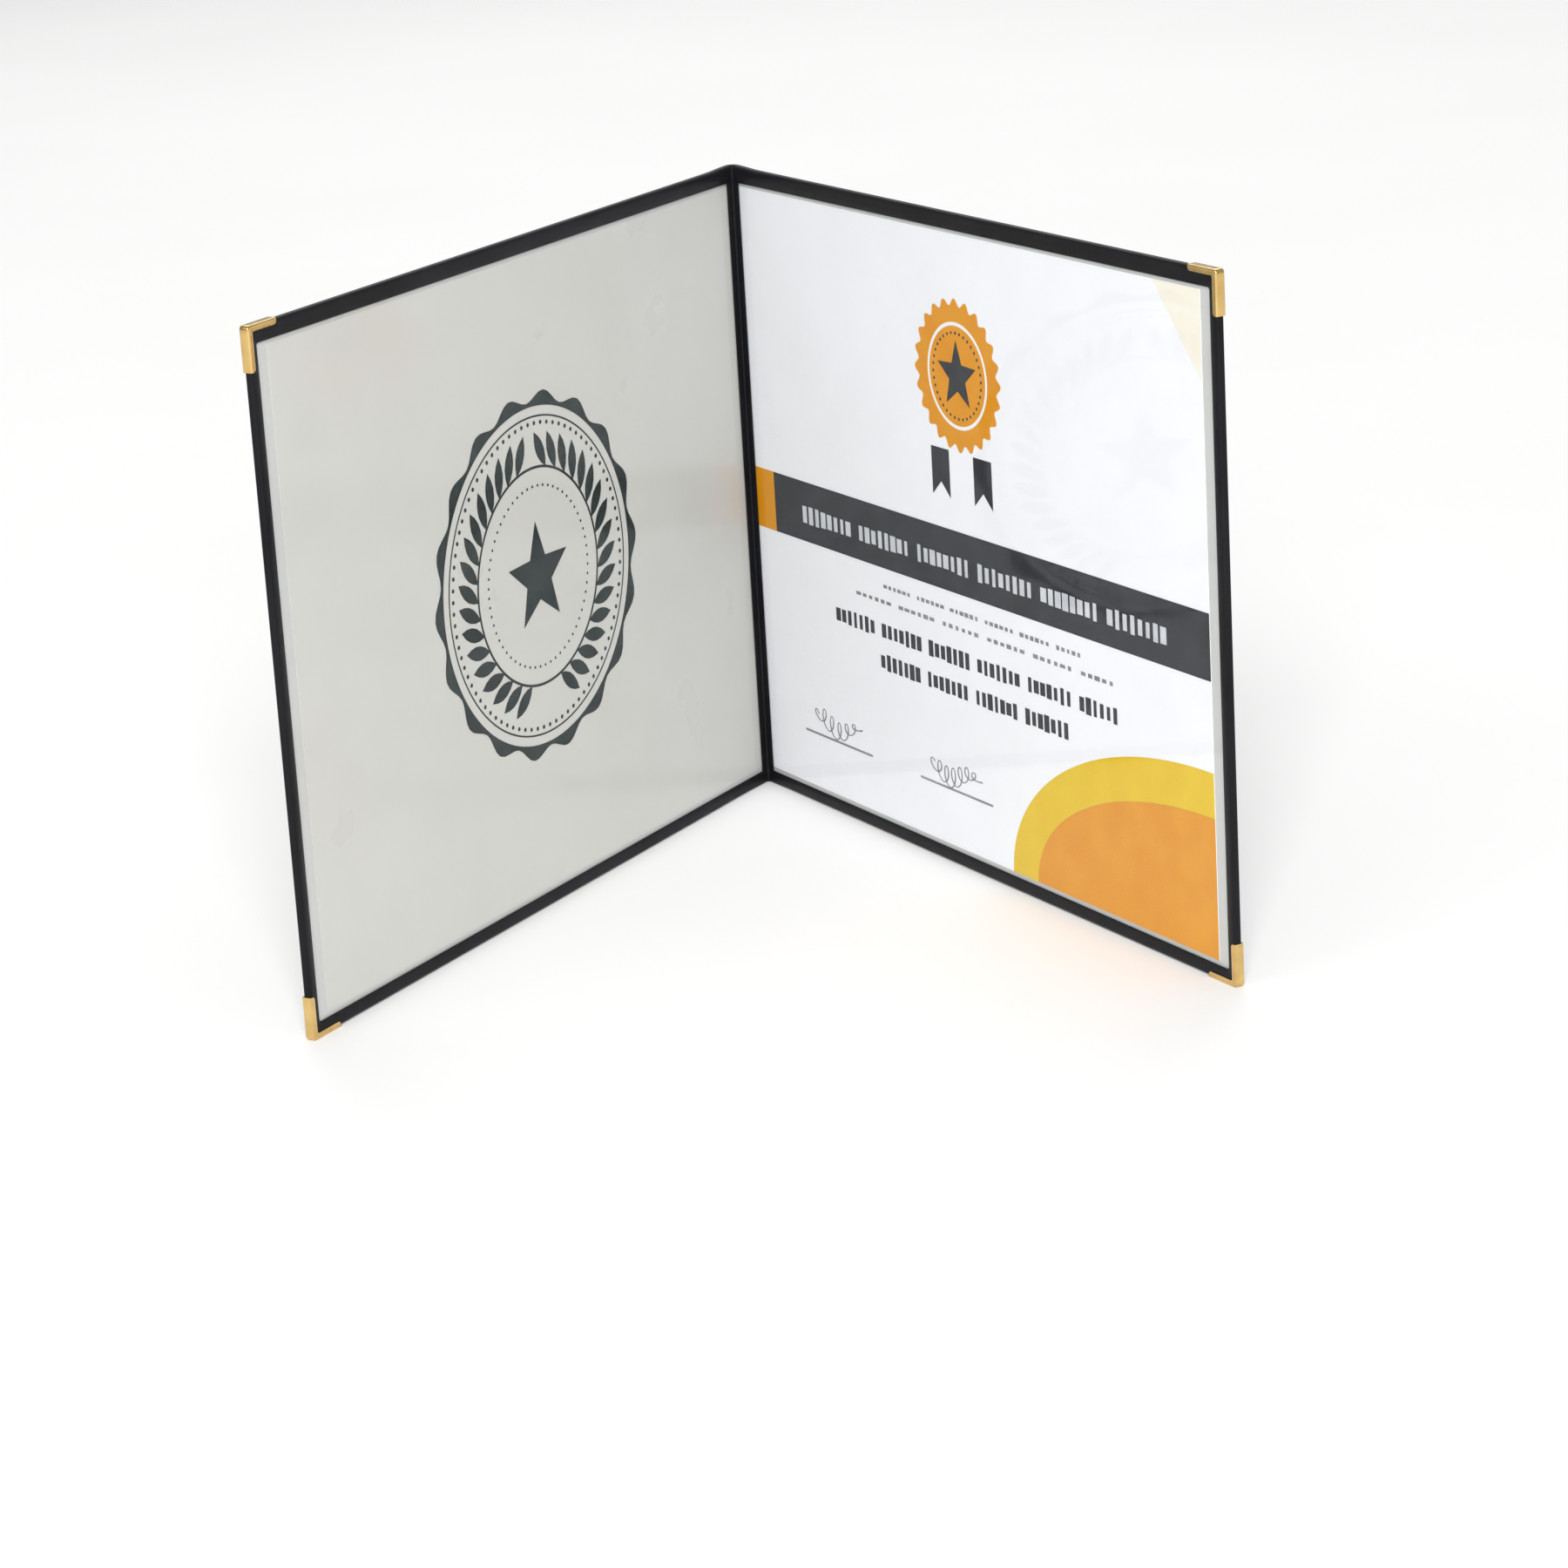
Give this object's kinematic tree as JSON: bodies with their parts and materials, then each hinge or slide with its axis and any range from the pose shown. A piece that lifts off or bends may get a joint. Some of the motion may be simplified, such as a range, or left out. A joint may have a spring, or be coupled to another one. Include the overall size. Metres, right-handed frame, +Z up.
{
  "type": "diploma cover",
  "caption": "Open landscape diploma cover: two black vinyl covers with clear windows, printed sheets, bound edges and brass corners, joined at a flexible spine.",
  "frame": {"origin": "on the surface the open cover stands on, at the middle of the box round it", "axes": "+Z up along the spine, +X across the open mouth towards the back cover, the mouth faces -Y"},
  "size_m": [0.2978, 0.2556, 0.2298],
  "materials": {
    "black_vinyl": "black vinyl with a soft shine",
    "greyboard": "plain greyboard",
    "liner_paper": "matt off-white liner",
    "grey_sheet": "smooth pale grey paper",
    "white_sheet": "smooth white paper",
    "clear_film": "clear glossy window film",
    "brass": "polished pressed brass",
    "dark_ink": "dark green-black ink on paper",
    "charcoal_ink": "charcoal ink on paper",
    "orange_ink": "orange ink on paper",
    "yellow_ink": "yellow ink on paper",
    "grey_ink": "grey ink on paper",
    "gold_foil": "hot-stamped gold foil"
  },
  "bodies": {
    "back_cover": {"back_outer_skin": "black_vinyl", "back_board": "greyboard", "back_liner": "liner_paper", "back_sheet": "white_sheet", "back_window": "clear_film", "back_edge_binding": "black_vinyl", "back_bottom_clip": "brass", "back_top_clip": "brass", "back_band": "charcoal_ink", "back_band_end": "orange_ink", "back_medal_ring": "orange_ink", "back_medal_core": "orange_ink", "back_ribbon_left": "charcoal_ink", "back_ribbon_right": "charcoal_ink", "back_heading_1": "charcoal_ink", "back_heading_2": "charcoal_ink", "back_sign_rule_1": "grey_ink", "back_sign_rule_2": "grey_ink", "back_corner_stripe": "yellow_ink", "back_corner_fan": "orange_ink", "spine_skin": "black_vinyl", "hinge_strip": "black_vinyl"},
    "front_cover": {"front_outer_skin": "black_vinyl", "front_board": "greyboard", "front_liner": "liner_paper", "front_sheet": "grey_sheet", "front_window": "clear_film", "front_edge_binding": "black_vinyl", "front_bottom_clip": "brass", "front_top_clip": "brass", "front_seal_rim": "dark_ink", "front_seal_line": "dark_ink", "front_seal_wreath": "dark_ink", "front_seal_star": "dark_ink", "front_foil_plate": "gold_foil", "front_foil_frame": "gold_foil", "front_foil_rule": "gold_foil"}
  },
  "joints": [
    {"name": "cover_hinge", "type": "hinge", "parent": "back_cover", "child": "front_cover", "pos_m": [0, 0.12447, 0], "axis": [0, 0, 1], "range_deg": [-120, 60], "deforming": ["spine_skin", "hinge_strip"]}
  ]
}
